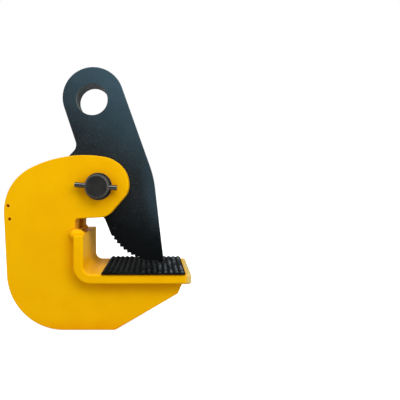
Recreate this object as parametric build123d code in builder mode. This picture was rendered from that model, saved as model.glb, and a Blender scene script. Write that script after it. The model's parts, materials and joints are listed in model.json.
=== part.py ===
"""Horizontal plate lifting clamp with a pivoting cam arm, in millimetres.

X runs from the spine of the clamp towards the open end of its jaw, Z is up, and Y is the axis
of the pivot pin. The origin is at the middle of the clamp's footprint, on its flat base.
"""

import os
from math import atan2, cos, degrees, radians, sin, sqrt

from build123d import *

os.makedirs("parts", exist_ok=True)

# Whole clamp
half_length = 85.5  # from the origin to the back of the spine and to the lip of the jaw
pivot = (1.0, 131.3)  # X and Z of the pin's axis

# Cheek plates
cheek_thickness = 16.0
cheek_gap = 19.2
cheek_inside = cheek_gap / 2
cheek_outside = cheek_inside + cheek_thickness
crown_top = 160.0
crown_radius = 109.2
crown_x = -12.2
shoulder_radius = 44.8
nose_radius = 25.9
nose_reach = 28.4  # furthest X of the nose
chin_radius = 17.0
chin_bearing = -5.0  # where the nose arc passes into the chin arc
chin_slope = 49.0
base_radius = 52.4
spine_lean = 2.8  # the spine's edge leans in towards the base
base_end = (16.4, 0.0)
jaw_tip = (73.8, 33.3)
jaw_shoulder_x = 78.5
throat_x = -20.2
throat_top = 101.7
throat_rise = 2.9  # slope of the roof of the throat
base_end_radius = 4.0
jaw_tip_radius = 3.0
throat_radius = 2.75
nose_corner_radius = 13.0
cheek_edge = 1.0
tag_holes = ((-81.4, 113.7), (-80.0, 101.5))
tag_hole_radius = 1.5
tag_hole_depth = 4.0

# Bent bracket in the throat
bracket_thickness = 9.0
bracket_half_width = 34.0
bracket_under = 44.15
bracket_top = 87.8
bracket_bend = 16.0
bracket_corner = 3.0
bracket_edge = 2.0

# Toothed jaw pad
pad_start = 5.0
pad_half_width = 35.0
pad_teeth = 15
pad_pitch = 5.0
pad_height = 2.6
pad_tooth_depth = 1.7
pad_tooth_flat = 0.5
pad_end_bevel = 1.1
pad_stud_radius = 5.0
pad_stud_spacing = 50.0
plug_weld_depth = 1.5
plug_weld_crown = 0.8

# Cam arm
arm_thickness = 18.0
eye = (-6.95, 217.1)
eye_radius = 29.5
eye_hole = (-7.9, 215.1)  # lower than the eye's own centre
eye_hole_radius = 14.9
eye_hole_chamfer = 0.6
neck_lean_left = 18.4
neck_lean_right = 19.6
shin_lean = 6.8
shin_foot = (61.3, 58.4)
knee_radius = 90.0
foot_corner_radius = 1.0
cam_center = (54.9, 109.5)
cam_radius = 51.0
cam_start = 209.9
cam_pitch = 5.17
cam_teeth = 12
cam_tooth_depth = 2.0
hub_radius = 28.5
hub_end = 274.4
hub_corner_radius = 6.0
heel_radius = 43.0
heel_start = 136.5
arm_opening = 30.0
stop_clearance = 0.5
heel_end = 180 - arm_opening - stop_clearance  # the stop in the spacer is level with the pin
heel_corner_radius = 3.0
heel_root_radius = 4.0
neck_fillet = 9.0
arm_edge = 0.8

# Pin, bush and cross pin
pin_radius = 12.5
pin_clearance = 0.06
pin_bore_radius = pin_radius + pin_clearance
bush_radius = 16.0
bush_length = 18.8
pin_nose_radius = 11.0
pin_shoulder_y = 26.3
pin_end_y = 35.0
pin_end_chamfer = 1.6
pin_head_radius = 17.0
pin_head_gap = 0.4
pin_head_chamfer = 1.5
cross_pin_radius = 2.4
cross_pin_wall = 0.9
cross_pin_slot = 1.0
cross_pin_length = 38.0
cross_pin_shift = -1.2
cross_pin_y = 30.3
cross_pin_tilt = -4.5

# Spacer between the cheeks and the welds
spacer_recess = 3.0
spacer_hub_radius = 34.0
spacer_heel_radius = 47.5
spacer_jaw_end = 9.0
spine_weld_leg = 2.6
bracket_weld_leg = 4.0
throat_weld_width = 3.0
throat_weld_height = 4.0
throat_weld_wrap = 4.2
throat_weld_end = 5.0
weld_start = 108.0  # bearing from the crown's centre


def on_circle(center, radius, angle):
    """Point on a circle, with the angle in degrees from +X towards +Z."""
    return (center[0] + radius * cos(radians(angle)), center[1] + radius * sin(radians(angle)))


def bearing(start, end):
    """Direction in degrees from one point to another."""
    return degrees(atan2(end[1] - start[1], end[0] - start[0]))


def under_crown(x, radius):
    """Centre at x of a circle that touches the crown's arc from inside."""
    reach = crown_radius - radius
    return (x, crown_center[1] + sqrt(reach**2 - (x - crown_center[0]) ** 2))


def meeting(point_a, angle_a, point_b, angle_b):
    """Where two lines meet, each given by a point and a direction in degrees."""
    across = sin(radians(angle_b - angle_a))
    offset_x = point_b[0] - point_a[0]
    offset_z = point_b[1] - point_a[1]
    along = (offset_x * sin(radians(angle_b)) - offset_z * cos(radians(angle_b))) / across
    return on_circle(point_a, along, angle_a)


# Centres and corners of the cheek's outline
crown_center = (crown_x, crown_top - crown_radius)
shoulder_center = under_crown(shoulder_radius - half_length, shoulder_radius)
nose_center = under_crown(nose_reach - nose_radius, nose_radius)
chin_center = on_circle(nose_center, nose_radius - chin_radius, chin_bearing)
chin_end_angle = chin_slope - 90
chin_end = on_circle(chin_center, chin_radius, chin_end_angle)
nose_corner = meeting(chin_end, chin_slope, (throat_x, throat_top), throat_rise)
spine_angle = 180 + spine_lean
base_drop = (shoulder_center[1] - base_radius) * sin(radians(spine_angle))
base_shift = (shoulder_radius - base_radius + base_drop) / cos(radians(spine_angle))
base_center = (shoulder_center[0] + base_shift, base_radius)
base_start = (base_center[0], 0.0)
nose_crown_angle = bearing(crown_center, nose_center)
shoulder_crown_angle = bearing(crown_center, shoulder_center)


def spine_line(inset, crown_start):
    """The crown, shoulder, spine and base of the cheek, set in from the outline."""
    shoulder = shoulder_radius - inset
    base = base_radius - inset
    CenterArc(crown_center, crown_radius - inset, crown_start, shoulder_crown_angle - crown_start)
    CenterArc(shoulder_center, shoulder, shoulder_crown_angle, spine_angle - shoulder_crown_angle)
    Line(on_circle(shoulder_center, shoulder, spine_angle), on_circle(base_center, base, spine_angle))
    CenterArc(base_center, base, spine_angle, 270 - spine_angle)


with BuildSketch(Plane.XZ) as cheek_outline:
    with BuildLine():
        spine_line(0, nose_crown_angle)
        FilletPolyline(
            base_start,
            base_end,
            jaw_tip,
            (jaw_shoulder_x, bracket_under),
            (throat_x, bracket_under),
            (throat_x, throat_top),
            nose_corner,
            chin_end,
            radius=(base_end_radius, jaw_tip_radius, 0, bracket_bend, throat_radius, nose_corner_radius),
        )
        CenterArc(chin_center, chin_radius, chin_end_angle, chin_bearing - chin_end_angle)
        CenterArc(nose_center, nose_radius, chin_bearing, nose_crown_angle - chin_bearing)
    make_face()


def make_cheek(side, label, with_tag_holes):
    """One cheek plate; side is -1 for the front plate and +1 for the rear one."""
    with BuildPart() as cheek:
        add(cheek_outline.sketch.moved(Location((0, side * cheek_inside, 0))))
        extrude(amount=cheek_thickness, dir=(0, side, 0))
        face = cheek.faces().sort_by(Axis.Y)[0 if side < 0 else -1]
        fillet(face.edges(), cheek_edge)
        with BuildSketch(Plane.XZ):
            with Locations(pivot):
                Circle(pin_bore_radius)
        extrude(amount=cheek_outside, both=True, mode=Mode.SUBTRACT)
        if with_tag_holes:
            with BuildSketch(Plane.XZ.offset(cheek_outside)):
                with Locations(*tag_holes):
                    Circle(tag_hole_radius)
            extrude(amount=-tag_hole_depth, mode=Mode.SUBTRACT)
    cheek.part.label = label
    export_step(cheek.part, f"parts/{label}.step")
    return cheek.part


front_cheek = make_cheek(-1, "front_cheek", True)
rear_cheek = make_cheek(1, "rear_cheek", False)

# Spacer: the cheek's outline set in, less the room the arm swings in
with BuildPart() as spine_spacer:
    with BuildSketch(Plane.XZ):
        add(cheek_outline.sketch_local)
        offset(amount=-spacer_recess, mode=Mode.REPLACE)
        with BuildSketch(mode=Mode.SUBTRACT):
            with Locations(pivot):
                Circle(spacer_hub_radius)
        with BuildSketch(mode=Mode.SUBTRACT):
            with Locations(pivot):
                Circle(spacer_heel_radius)
                Rectangle(200, 200, align=(Align.CENTER, Align.MIN), mode=Mode.INTERSECT)
        with BuildSketch(mode=Mode.SUBTRACT):
            with Locations((spacer_jaw_end, 0)):
                Rectangle(200, 200, align=(Align.MIN, Align.MIN))
    extrude(amount=cheek_inside, both=True)
spine_spacer.part.label = "spine_spacer"
export_step(spine_spacer.part, "parts/spine_spacer.step")

# Bracket: a plate bent to an L, its back against the throat, with holes for the pad's two studs
pad_end = pad_start + pad_teeth * pad_pitch
pad_middle_x = (pad_start + pad_end) / 2
with BuildPart() as jaw_bracket:
    with BuildSketch(Plane.XZ):
        with BuildLine():
            FilletPolyline(
                (half_length, bracket_under),
                (throat_x, bracket_under),
                (throat_x, bracket_top),
                radius=(bracket_bend,),
            )
            offset(amount=bracket_thickness, side=Side.RIGHT)
        make_face()
    extrude(amount=bracket_half_width, both=True)
    lip_edges = jaw_bracket.edges().filter_by(Axis.Z).group_by(Axis.X)[-1]
    fillet(lip_edges, bracket_corner)
    front_edges = jaw_bracket.faces().sort_by(Axis.Y)[0].edges()
    rear_edges = jaw_bracket.faces().sort_by(Axis.Y)[-1].edges()
    fillet(front_edges + rear_edges, bracket_edge)
    with BuildSketch(Plane.XY.offset(bracket_under)):
        with Locations((pad_middle_x, 0)):
            with GridLocations(pad_stud_spacing, 1, 2, 1):
                Circle(pad_stud_radius)
    extrude(amount=bracket_thickness, mode=Mode.SUBTRACT)
jaw_bracket.part.label = "jaw_bracket"
export_step(jaw_bracket.part, "parts/jaw_bracket.step")

# Jaw pad: V-teeth across the jaw, on two studs that pass through the bracket
bracket_face = bracket_under + bracket_thickness
pad_tip = bracket_face + pad_height
pad_root = pad_tip - pad_tooth_depth
pad_points = [(pad_end, bracket_face), (pad_start, bracket_face), (pad_start, pad_root)]
for tooth in range(pad_teeth):
    tip_x = pad_start + (tooth + 0.5) * pad_pitch
    pad_points.append((tip_x - pad_tooth_flat / 2, pad_tip))
    pad_points.append((tip_x + pad_tooth_flat / 2, pad_tip))
    pad_points.append((tip_x + pad_pitch / 2, pad_root))

with BuildPart() as jaw_pad:
    with BuildSketch(Plane.XZ):
        with BuildLine():
            Polyline(*pad_points, close=True)
        make_face()
    extrude(amount=pad_half_width, both=True)
    with BuildSketch(Plane.YZ.offset(pad_start)):
        for side in (-1, 1):
            edge_y = side * pad_half_width
            with BuildLine():
                Polyline(
                    (edge_y, pad_tip),
                    (edge_y - side * pad_end_bevel, pad_tip),
                    (edge_y, pad_tip - pad_end_bevel),
                    close=True,
                )
            make_face()
    extrude(amount=pad_end - pad_start, mode=Mode.SUBTRACT)
    with BuildSketch(Plane.XY.offset(bracket_face)):
        with Locations((pad_middle_x, 0)):
            with GridLocations(pad_stud_spacing, 1, 2, 1):
                Circle(pad_stud_radius)
    extrude(amount=plug_weld_depth - bracket_thickness)
jaw_pad.part.label = "jaw_pad"
export_step(jaw_pad.part, "parts/jaw_pad.step")

with BuildPart() as pad_plug_welds:
    with BuildSketch(Plane.XY.offset(bracket_under + plug_weld_depth)):
        with Locations((pad_middle_x, 0)):
            with GridLocations(pad_stud_spacing, 1, 2, 1):
                Circle(pad_stud_radius)
    extrude(amount=-plug_weld_depth - plug_weld_crown)
    fillet(pad_plug_welds.faces().group_by(Axis.Z)[0].edges(), plug_weld_crown * 0.9)
pad_plug_welds.part.label = "pad_plug_welds"
export_step(pad_plug_welds.part, "parts/pad_plug_welds.step")

# Cam arm: eye, neck, hub with a stop heel, and a toothed cam edge down to the foot
eye_right = on_circle(eye, eye_radius, neck_lean_right)
eye_left_angle = 180 + neck_lean_left
eye_left = on_circle(eye, eye_radius, eye_left_angle)
knee = meeting(eye_right, neck_lean_right - 90, shin_foot, shin_lean + 90)
heel_front = on_circle(pivot, heel_radius, heel_start)
neck_corner = meeting(eye_left, neck_lean_left - 90, heel_front, heel_start + 90)
heel_tip = on_circle(pivot, heel_radius, heel_end)
heel_root = on_circle(pivot, hub_radius, heel_end)
hub_corner = on_circle(pivot, hub_radius, hub_end)
cam_points = [hub_corner, on_circle(cam_center, cam_radius, cam_start)]
for tooth in range(cam_teeth):
    root_angle = cam_start + (tooth + 0.5) * cam_pitch
    tip_angle = cam_start + (tooth + 1) * cam_pitch
    cam_points.append(on_circle(cam_center, cam_radius - cam_tooth_depth, root_angle))
    cam_points.append(on_circle(cam_center, cam_radius, tip_angle))
arm_corners = (
    (knee, knee_radius),
    (shin_foot, foot_corner_radius),
    (hub_corner, hub_corner_radius),
    (heel_root, heel_root_radius),
    (heel_tip, heel_corner_radius),
    (neck_corner, neck_fillet),
)

with BuildPart() as cam_arm:
    with BuildSketch(Plane.XZ) as arm_outline:
        with BuildLine():
            CenterArc(eye, eye_radius, neck_lean_right, eye_left_angle - neck_lean_right)
            Polyline(eye_left, neck_corner, heel_front)
            CenterArc(pivot, heel_radius, heel_start, heel_end - heel_start)
            Line(heel_tip, heel_root)
            CenterArc(pivot, hub_radius, heel_end, hub_end - heel_end)
            Polyline(*cam_points, shin_foot, knee, eye_right)
        make_face()
        for corner, radius in arm_corners:
            fillet(arm_outline.vertices().sort_by_distance(corner)[0], radius)
    extrude(amount=arm_thickness / 2, both=True)
    flat_faces = cam_arm.faces().sort_by(Axis.Y)
    smooth_edges = (flat_faces[0].edges() + flat_faces[-1].edges()).filter_by(
        lambda edge: edge.length > cam_pitch * 2
    )
    chamfer(smooth_edges, arm_edge)
    with BuildSketch(Plane.XZ):
        with Locations(eye_hole):
            Circle(eye_hole_radius)
        with Locations(pivot):
            Circle(bush_radius)
    extrude(amount=arm_thickness, both=True, mode=Mode.SUBTRACT)
    eye_edges = cam_arm.edges().filter_by(
        lambda edge: edge.geom_type == GeomType.CIRCLE and edge.radius == eye_hole_radius
    )
    chamfer(eye_edges, eye_hole_chamfer)
cam_arm.part.label = "cam_arm"
export_step(cam_arm.part, "parts/cam_arm.step")

with BuildPart() as arm_bush:
    with BuildSketch(Plane.XZ):
        with Locations(pivot):
            Circle(bush_radius)
            Circle(pin_bore_radius, mode=Mode.SUBTRACT)
    extrude(amount=bush_length / 2, both=True)
arm_bush.part.label = "arm_bush"
export_step(arm_bush.part, "parts/arm_bush.step")

# Pivot pin: headed at the back, stepped down in front where the cross pin goes through
pin_plane = Plane(origin=(pivot[0], 0, pivot[1]), x_dir=(0, 1, 0), z_dir=(1, 0, 0))
pin_axis = Axis((pivot[0], 0, pivot[1]), (0, 1, 0))
pin_head_y = cheek_outside + pin_head_gap
cross_direction = (cos(radians(cross_pin_tilt)), 0, sin(radians(cross_pin_tilt)))
cross_plane = Plane(origin=(pivot[0], -cross_pin_y, pivot[1]), x_dir=(0, 1, 0), z_dir=cross_direction)

with BuildPart() as pivot_pin:
    with BuildSketch(pin_plane):
        with BuildLine():
            Polyline(
                (-pin_end_y, 0),
                (-pin_end_y, pin_nose_radius - pin_end_chamfer),
                (-pin_end_y + pin_end_chamfer, pin_nose_radius),
                (-pin_shoulder_y, pin_nose_radius),
                (-pin_shoulder_y, pin_radius),
                (pin_head_y, pin_radius),
                (pin_head_y, pin_head_radius),
                (pin_end_y - pin_head_chamfer, pin_head_radius),
                (pin_end_y, pin_head_radius - pin_head_chamfer),
                (pin_end_y, 0),
                close=True,
            )
        make_face()
    revolve(axis=pin_axis)
    with BuildSketch(cross_plane):
        Circle(cross_pin_radius)
    extrude(amount=pin_radius, both=True, mode=Mode.SUBTRACT)
pivot_pin.part.label = "pivot_pin"
export_step(pivot_pin.part, "parts/pivot_pin.step")

with BuildPart() as cross_pin:
    with BuildSketch(cross_plane.offset(cross_pin_shift)):
        Circle(cross_pin_radius)
        Circle(cross_pin_radius - cross_pin_wall, mode=Mode.SUBTRACT)
        with Locations((cross_pin_radius, 0)):
            Rectangle(cross_pin_radius * 2, cross_pin_slot, mode=Mode.SUBTRACT)
    extrude(amount=cross_pin_length / 2, both=True)
cross_pin.part.label = "cross_pin"
export_step(cross_pin.part, "parts/cross_pin.step")

# Welds
with BuildPart() as spine_welds:
    with BuildLine(Plane.XZ.offset(cheek_inside)) as weld_path:
        spine_line(spacer_recess, weld_start)
        Line((base_center[0], spacer_recess), (spacer_jaw_end - 1, spacer_recess))
    start_plane = Plane(origin=weld_path.wire() @ 0, x_dir=(0, 1, 0), z_dir=weld_path.wire() % 0)
    with BuildSketch(start_plane):
        with BuildLine():
            Polyline((0, 0), (spine_weld_leg, 0), (0, -spine_weld_leg), close=True)
        make_face()
    sweep(path=weld_path.wire())
    mirror(about=Plane.XZ)
spine_welds.part.label = "spine_welds"
export_step(spine_welds.part, "parts/spine_welds.step")

with BuildPart() as bracket_welds:
    with BuildSketch(Plane.YZ.offset(spacer_jaw_end + 1)):
        for side in (-1, 1):
            root_y = side * cheek_inside
            with BuildLine():
                Polyline(
                    (root_y, bracket_under),
                    (root_y - side * bracket_weld_leg, bracket_under),
                    (root_y, bracket_under - bracket_weld_leg),
                    close=True,
                )
            make_face()
    extrude(amount=jaw_shoulder_x - bracket_weld_leg * 2 - spacer_jaw_end)
bracket_welds.part.label = "bracket_welds"
export_step(bracket_welds.part, "parts/bracket_welds.step")

with BuildPart() as throat_weld:
    with BuildSketch(Plane.XZ):
        with BuildLine():
            Polyline(
                (throat_x, bracket_top),
                (throat_x + throat_weld_width, bracket_top),
                (throat_x, bracket_top + throat_weld_height),
                close=True,
            )
        make_face()
    extrude(amount=cheek_outside, both=True)
    with Locations((throat_x, -cheek_outside, bracket_top)):
        Sphere(throat_weld_end)
    with Locations((throat_x + throat_weld_end, -cheek_outside, bracket_top)):
        Sphere(throat_weld_wrap)
    add(front_cheek, mode=Mode.SUBTRACT)
    add(rear_cheek, mode=Mode.SUBTRACT)
    add(jaw_bracket.part, mode=Mode.SUBTRACT)
throat_weld.part.label = "throat_weld"
export_step(throat_weld.part, "parts/throat_weld.step")
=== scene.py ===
import json
import math

import bmesh
import bpy
from mathutils import Matrix, Vector


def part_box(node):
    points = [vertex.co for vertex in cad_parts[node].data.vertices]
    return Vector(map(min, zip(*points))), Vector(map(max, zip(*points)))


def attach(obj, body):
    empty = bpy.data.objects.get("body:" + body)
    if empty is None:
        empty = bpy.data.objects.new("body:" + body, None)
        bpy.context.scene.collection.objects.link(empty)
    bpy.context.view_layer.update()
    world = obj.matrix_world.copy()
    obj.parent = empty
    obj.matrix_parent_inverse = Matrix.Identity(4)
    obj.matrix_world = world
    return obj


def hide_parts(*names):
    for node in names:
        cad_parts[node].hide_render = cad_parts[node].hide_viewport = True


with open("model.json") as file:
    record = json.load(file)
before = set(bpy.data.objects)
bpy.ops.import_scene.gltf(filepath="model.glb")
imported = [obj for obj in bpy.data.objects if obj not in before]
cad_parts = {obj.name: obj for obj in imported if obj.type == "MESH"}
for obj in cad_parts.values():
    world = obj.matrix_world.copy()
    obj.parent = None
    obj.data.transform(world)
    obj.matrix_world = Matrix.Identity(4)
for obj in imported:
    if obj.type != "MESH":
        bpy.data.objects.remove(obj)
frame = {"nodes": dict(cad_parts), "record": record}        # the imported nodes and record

mm = 0.001
scene = bpy.context.scene
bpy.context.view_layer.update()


# node helpers
def feed(tree, socket, value):
    # a socket is linked, anything else is typed in
    if isinstance(value, bpy.types.NodeSocket):
        tree.links.new(value, socket)
    else:
        socket.default_value = value


def addNode(tree, kind, inputs=None, **settings):
    node = tree.nodes.new(kind)
    for name, value in settings.items():
        setattr(node, name, value)
    for name, value in (inputs or {}).items():
        feed(tree, node.inputs[name], value)
    return node


def maths(tree, operation, *values):
    node = addNode(tree, "ShaderNodeMath", operation=operation)
    for socket, value in zip(node.inputs, values):
        feed(tree, socket, value)
    return node.outputs[0]


def plus(tree, first, second):
    return maths(tree, "ADD", first, second)


def minus(tree, first, second):
    return maths(tree, "SUBTRACT", first, second)


def times(tree, first, second):
    return maths(tree, "MULTIPLY", first, second)


def over(tree, first, second):
    return maths(tree, "DIVIDE", first, second)


def hypotenuse(tree, first, second):
    return maths(tree, "SQRT", plus(tree, times(tree, first, first), times(tree, second, second)))


def ramp(tree, value, low, high, toLow=0.0, toHigh=1.0, smooth=True):
    node = addNode(tree, "ShaderNodeMapRange", interpolation_type="SMOOTHSTEP" if smooth else "LINEAR")
    for socket, part in zip(node.inputs, (value, low, high, toLow, toHigh)):
        feed(tree, socket, part)
    return node.outputs[0]


def mixColor(tree, share, first, second):
    node = addNode(tree, "ShaderNodeMix", data_type="RGBA")
    colors = [socket for socket in node.inputs if socket.type == "RGBA"]
    feed(tree, node.inputs[0], share)
    feed(tree, colors[0], first)
    feed(tree, colors[1], second)
    return next(socket for socket in node.outputs if socket.type == "RGBA")


def mixFloat(tree, share, first, second):
    return ramp(tree, share, 0.0, 1.0, first, second, smooth=False)


def splitVector(tree, vector):
    return addNode(tree, "ShaderNodeSeparateXYZ", {"Vector": vector}).outputs


def joinVector(tree, **parts):
    return addNode(tree, "ShaderNodeCombineXYZ", parts).outputs[0]


def vectorMaths(tree, operation, *values):
    node = addNode(tree, "ShaderNodeVectorMath", operation=operation)
    for socket, value in zip(node.inputs, values):
        feed(tree, socket, value)
    return node.outputs


def newGroup(name, kind, inputs, outputs):
    # inputs and outputs give each label its kind of socket
    tree = bpy.data.node_groups.new(name, kind)
    for direction, sockets in (("INPUT", inputs), ("OUTPUT", outputs)):
        for label, socketKind in sockets.items():
            tree.interface.new_socket(label, in_out=direction, socket_type="NodeSocket" + socketKind)
    source = tree.nodes.new("NodeGroupInput").outputs
    target = tree.nodes.new("NodeGroupOutput").inputs
    return tree, source, target


armJoint = next(joint for joint in frame["record"]["behaviour"]["joints"] if joint["name"] == "arm_pivot")
pivot = Vector(armJoint["pos_m"])
eyeMount = next(mount for mount in frame["record"]["mounts"] if mount["name"] == "lifting_eye")
eyeHole = Vector(eyeMount["pos_m"])


# shared surface effects
def makeNoise(tree, vector, scale, detail=2.0, roughness=0.5):
    values = {"Vector": vector, "Scale": scale, "Detail": detail, "Roughness": roughness}
    return addNode(tree, "ShaderNodeTexNoise", values).outputs["Fac"]


def newEffect(name, values, results=("Mask",)):
    # every effect reads a vector and some values, and puts out values
    inputs = {"Vector": "Vector", **dict.fromkeys(values, "Float")}
    return newGroup(name, "ShaderNodeTree", inputs, dict.fromkeys(results, "Float"))


def surfaceNormal(tree):
    return addNode(tree, "ShaderNodeNewGeometry").outputs["Normal"]


def makeEdgeWear():
    # where a rounded-off normal leaves the real one, broken up by noise
    tree, source, target = newEffect("edgeWear", ("Reach", "Patch Size", "Coverage"))
    rounded = addNode(tree, "ShaderNodeBevel", {"Radius": source["Reach"]}, samples=4).outputs[0]
    both = vectorMaths(tree, "DOT_PRODUCT", rounded, surfaceNormal(tree))
    edge = ramp(tree, both["Value"], 0.99, 0.86)
    patches = makeNoise(tree, source["Vector"], source["Patch Size"], 4.0, 0.6)
    limit = minus(tree, 0.9, source["Coverage"])
    worn = ramp(tree, patches, limit, plus(tree, limit, 0.12))
    feed(tree, target["Mask"], times(tree, edge, worn))
    return tree


def makePaintFilm():
    # orange peel, slow colour mottle and pinholes of a sprayed film
    results = ("Height", "Mottle", "Speckle")
    tree, source, target = newEffect("paintFilm", ("Peel Scale", "Mottle Scale"), results)
    peel = makeNoise(tree, source["Vector"], source["Peel Scale"], 1.5, 0.45)
    runs = makeNoise(tree, source["Vector"], source["Mottle Scale"], 3.0, 0.55)
    feed(tree, target["Height"], maths(tree, "MULTIPLY_ADD", runs, 0.6, peel))
    feed(tree, target["Mottle"], ramp(tree, runs, 0.3, 0.7))
    fine = makeNoise(tree, source["Vector"], times(tree, source["Peel Scale"], 1.9), 2.0, 0.7)
    feed(tree, target["Speckle"], ramp(tree, fine, 0.56, 0.7))
    return tree


def makeCutLines():
    # drag lines a flame cut leaves across a plate's thickness, only on faces that look away from Y
    tree, source, target = newEffect("cutLines", ("Line Scale",), ("Height",))
    stretched = vectorMaths(tree, "MULTIPLY", source["Vector"], (1.0, 0.06, 1.0))[0]
    lines = makeNoise(tree, stretched, source["Line Scale"], 2.0, 0.6)
    sideways = maths(tree, "ABSOLUTE", splitVector(tree, surfaceNormal(tree))["Y"])
    feed(tree, target["Height"], times(tree, lines, ramp(tree, sideways, 0.55, 0.2)))
    return tree


def makeDust():
    # settles on faces that look up, in uneven drifts
    tree, source, target = newEffect("dustFilm", ("Amount", "Drift Scale"))
    upward = ramp(tree, splitVector(tree, surfaceNormal(tree))["Z"], 0.35, 0.95)
    drifts = makeNoise(tree, source["Vector"], source["Drift Scale"], 5.0, 0.65)
    share = times(tree, upward, ramp(tree, drifts, 0.35, 0.75))
    feed(tree, target["Mask"], times(tree, share, source["Amount"]))
    return tree


def makeScuffs():
    # short hair scratches in two directions
    tree, source, target = newEffect("hairScuffs", ("Scale", "Coverage"))
    hairScale = times(tree, source["Scale"], 14.0)
    found = []
    for angle, stretch in ((0.6, 0.05), (-1.1, 0.035)):
        turn = {"Vector": source["Vector"], "Rotation": (0.2, angle, 0.3)}
        turned = addNode(tree, "ShaderNodeMapping", turn).outputs[0]
        pulled = vectorMaths(tree, "MULTIPLY", turned, (stretch, 1.0, 1.0))[0]
        hairs = makeNoise(tree, pulled, hairScale, 2.0, 0.6)
        found.append(ramp(tree, hairs, 0.66, 0.7))
    fields = makeNoise(tree, source["Vector"], source["Scale"], 2.0, 0.5)
    limit = minus(tree, 0.8, source["Coverage"])
    patch = ramp(tree, fields, limit, plus(tree, limit, 0.1))
    feed(tree, target["Mask"], times(tree, maths(tree, "MAXIMUM", *found), patch))
    return tree


def makeCornerShade():
    # painted shade: the colour turns darker and more orange where surfaces meet and the hollows get less
    # light
    tree, source, target = newEffect("cornerShade", ("Reach", "Patch Size"))
    hollow = addNode(tree, "ShaderNodeAmbientOcclusion", {"Distance": source["Reach"]}, samples=6)
    depth = ramp(tree, hollow.outputs["AO"], 0.97, 0.35, smooth=False)
    patches = makeNoise(tree, source["Vector"], source["Patch Size"], 3.0, 0.6)
    feed(tree, target["Mask"], times(tree, depth, ramp(tree, patches, 0.2, 0.8, 0.75, 1.0)))
    return tree


effects = {
    "edgeWear": makeEdgeWear(),
    "paintFilm": makePaintFilm(),
    "cutLines": makeCutLines(),
    "dustFilm": makeDust(),
    "hairScuffs": makeScuffs(),
    "cornerShade": makeCornerShade(),
}
print("surface effects ready")


# materials
def startMaterial(name):
    material = bpy.data.materials.new(name)
    material.use_nodes = True
    tree = material.node_tree
    shader = tree.nodes["Principled BSDF"]
    coords = addNode(tree, "ShaderNodeTexCoord").outputs["Object"]
    return material, tree, shader, coords


def useEffect(tree, name, coords, **values):
    node = tree.nodes.new("ShaderNodeGroup")
    node.node_tree = effects[name]
    feed(tree, node.inputs["Vector"], coords)
    for label, value in values.items():
        feed(tree, node.inputs[label.replace("_", " ")], value)
    return node.outputs


def addBump(tree, shader, height, distance):
    bump = addNode(tree, "ShaderNodeBump", {"Height": height, "Distance": distance, "Strength": 1.0})
    feed(tree, shader.inputs["Normal"], bump.outputs[0])


yellowLook = {
    "color": (0.86, 0.445, 0.0012, 1.0),
    "deepColor": (0.83, 0.41, 0.001, 1.0),
    # painted shade colour for corners and hollows
    "cornerShadeColor": (0.78, 0.27, 0.001, 1.0),
    # lighter yellow for worn edges and scuffs, also a painted highlight along the edges
    "edgeWearHighlightColor": (0.95, 0.62, 0.09, 1.0),
    "dustColor": (0.62, 0.50, 0.30, 1.0),
    "lipColor": (0.58, 0.48, 0.20, 1.0),
    "lip": (0.0795, 0.0835),  # a painted pale reflection on the bracket's end, X in metres
    "lipShare": (0.65, 0.95),
    "wearShare": 0.55,
    "scuffShare": 0.2,
    "roughness": (0.36, 0.46),
    "addedRoughness": 0.25,  # under dust and scuffs
    "ior": 1.18,
    "specular": 0.12,
    "shine": (1.0, 0.72, 0.22, 1.0),
    "cutDepth": 3.0,  # against the orange peel's
    "peelDepth": 0.035 * mm,
}


def makeYellowEnamel():
    look = yellowLook
    material, tree, shader, coords = startMaterial("yellowEnamel")
    film = useEffect(tree, "paintFilm", coords, Peel_Scale=620.0, Mottle_Scale=34.0)
    wear = useEffect(tree, "edgeWear", coords, Reach=0.7 * mm, Patch_Size=90.0, Coverage=0.52)["Mask"]
    cuts = useEffect(tree, "cutLines", coords, Line_Scale=480.0)["Height"]
    dust = useEffect(tree, "dustFilm", coords, Amount=0.12, Drift_Scale=70.0)["Mask"]
    scuffs = useEffect(tree, "hairScuffs", coords, Scale=70.0, Coverage=0.2)["Mask"]
    corner = useEffect(tree, "cornerShade", coords, Reach=14.0 * mm, Patch_Size=60.0)["Mask"]
    color = mixColor(tree, film["Mottle"], look["color"], look["deepColor"])
    # painted shade in corners and hollows
    color = mixColor(tree, corner, color, look["cornerShadeColor"])
    # worn edge patches turn lighter yellow; this is partly a painted edge highlight
    color = mixColor(tree, times(tree, wear, look["wearShare"]), color, look["edgeWearHighlightColor"])
    color = mixColor(tree, dust, color, look["dustColor"])
    color = mixColor(tree, times(tree, scuffs, look["scuffShare"]), color, look["edgeWearHighlightColor"])
    # painted reflection: the bracket's end turns pale, in patches that follow the mottle
    lipReflection = ramp(tree, splitVector(tree, coords)["X"], *look["lip"])
    lipReflection = times(tree, lipReflection, ramp(tree, film["Mottle"], 0.0, 1.0, *look["lipShare"]))
    feed(tree, shader.inputs["Base Color"], mixColor(tree, lipReflection, color, look["lipColor"]))
    rough = ramp(tree, film["Mottle"], 0.0, 1.0, *look["roughness"])
    dull = maths(tree, "MAXIMUM", dust, scuffs)
    rough = maths(tree, "MULTIPLY_ADD", dull, look["addedRoughness"], rough)
    feed(tree, shader.inputs["Roughness"], rough)
    shader.inputs["IOR"].default_value = look["ior"]
    shader.inputs["Specular IOR Level"].default_value = look["specular"]
    shader.inputs["Specular Tint"].default_value = look["shine"]
    height = maths(tree, "MULTIPLY_ADD", cuts, look["cutDepth"], film["Height"])
    addBump(tree, shader, height, look["peelDepth"])
    return material


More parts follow.
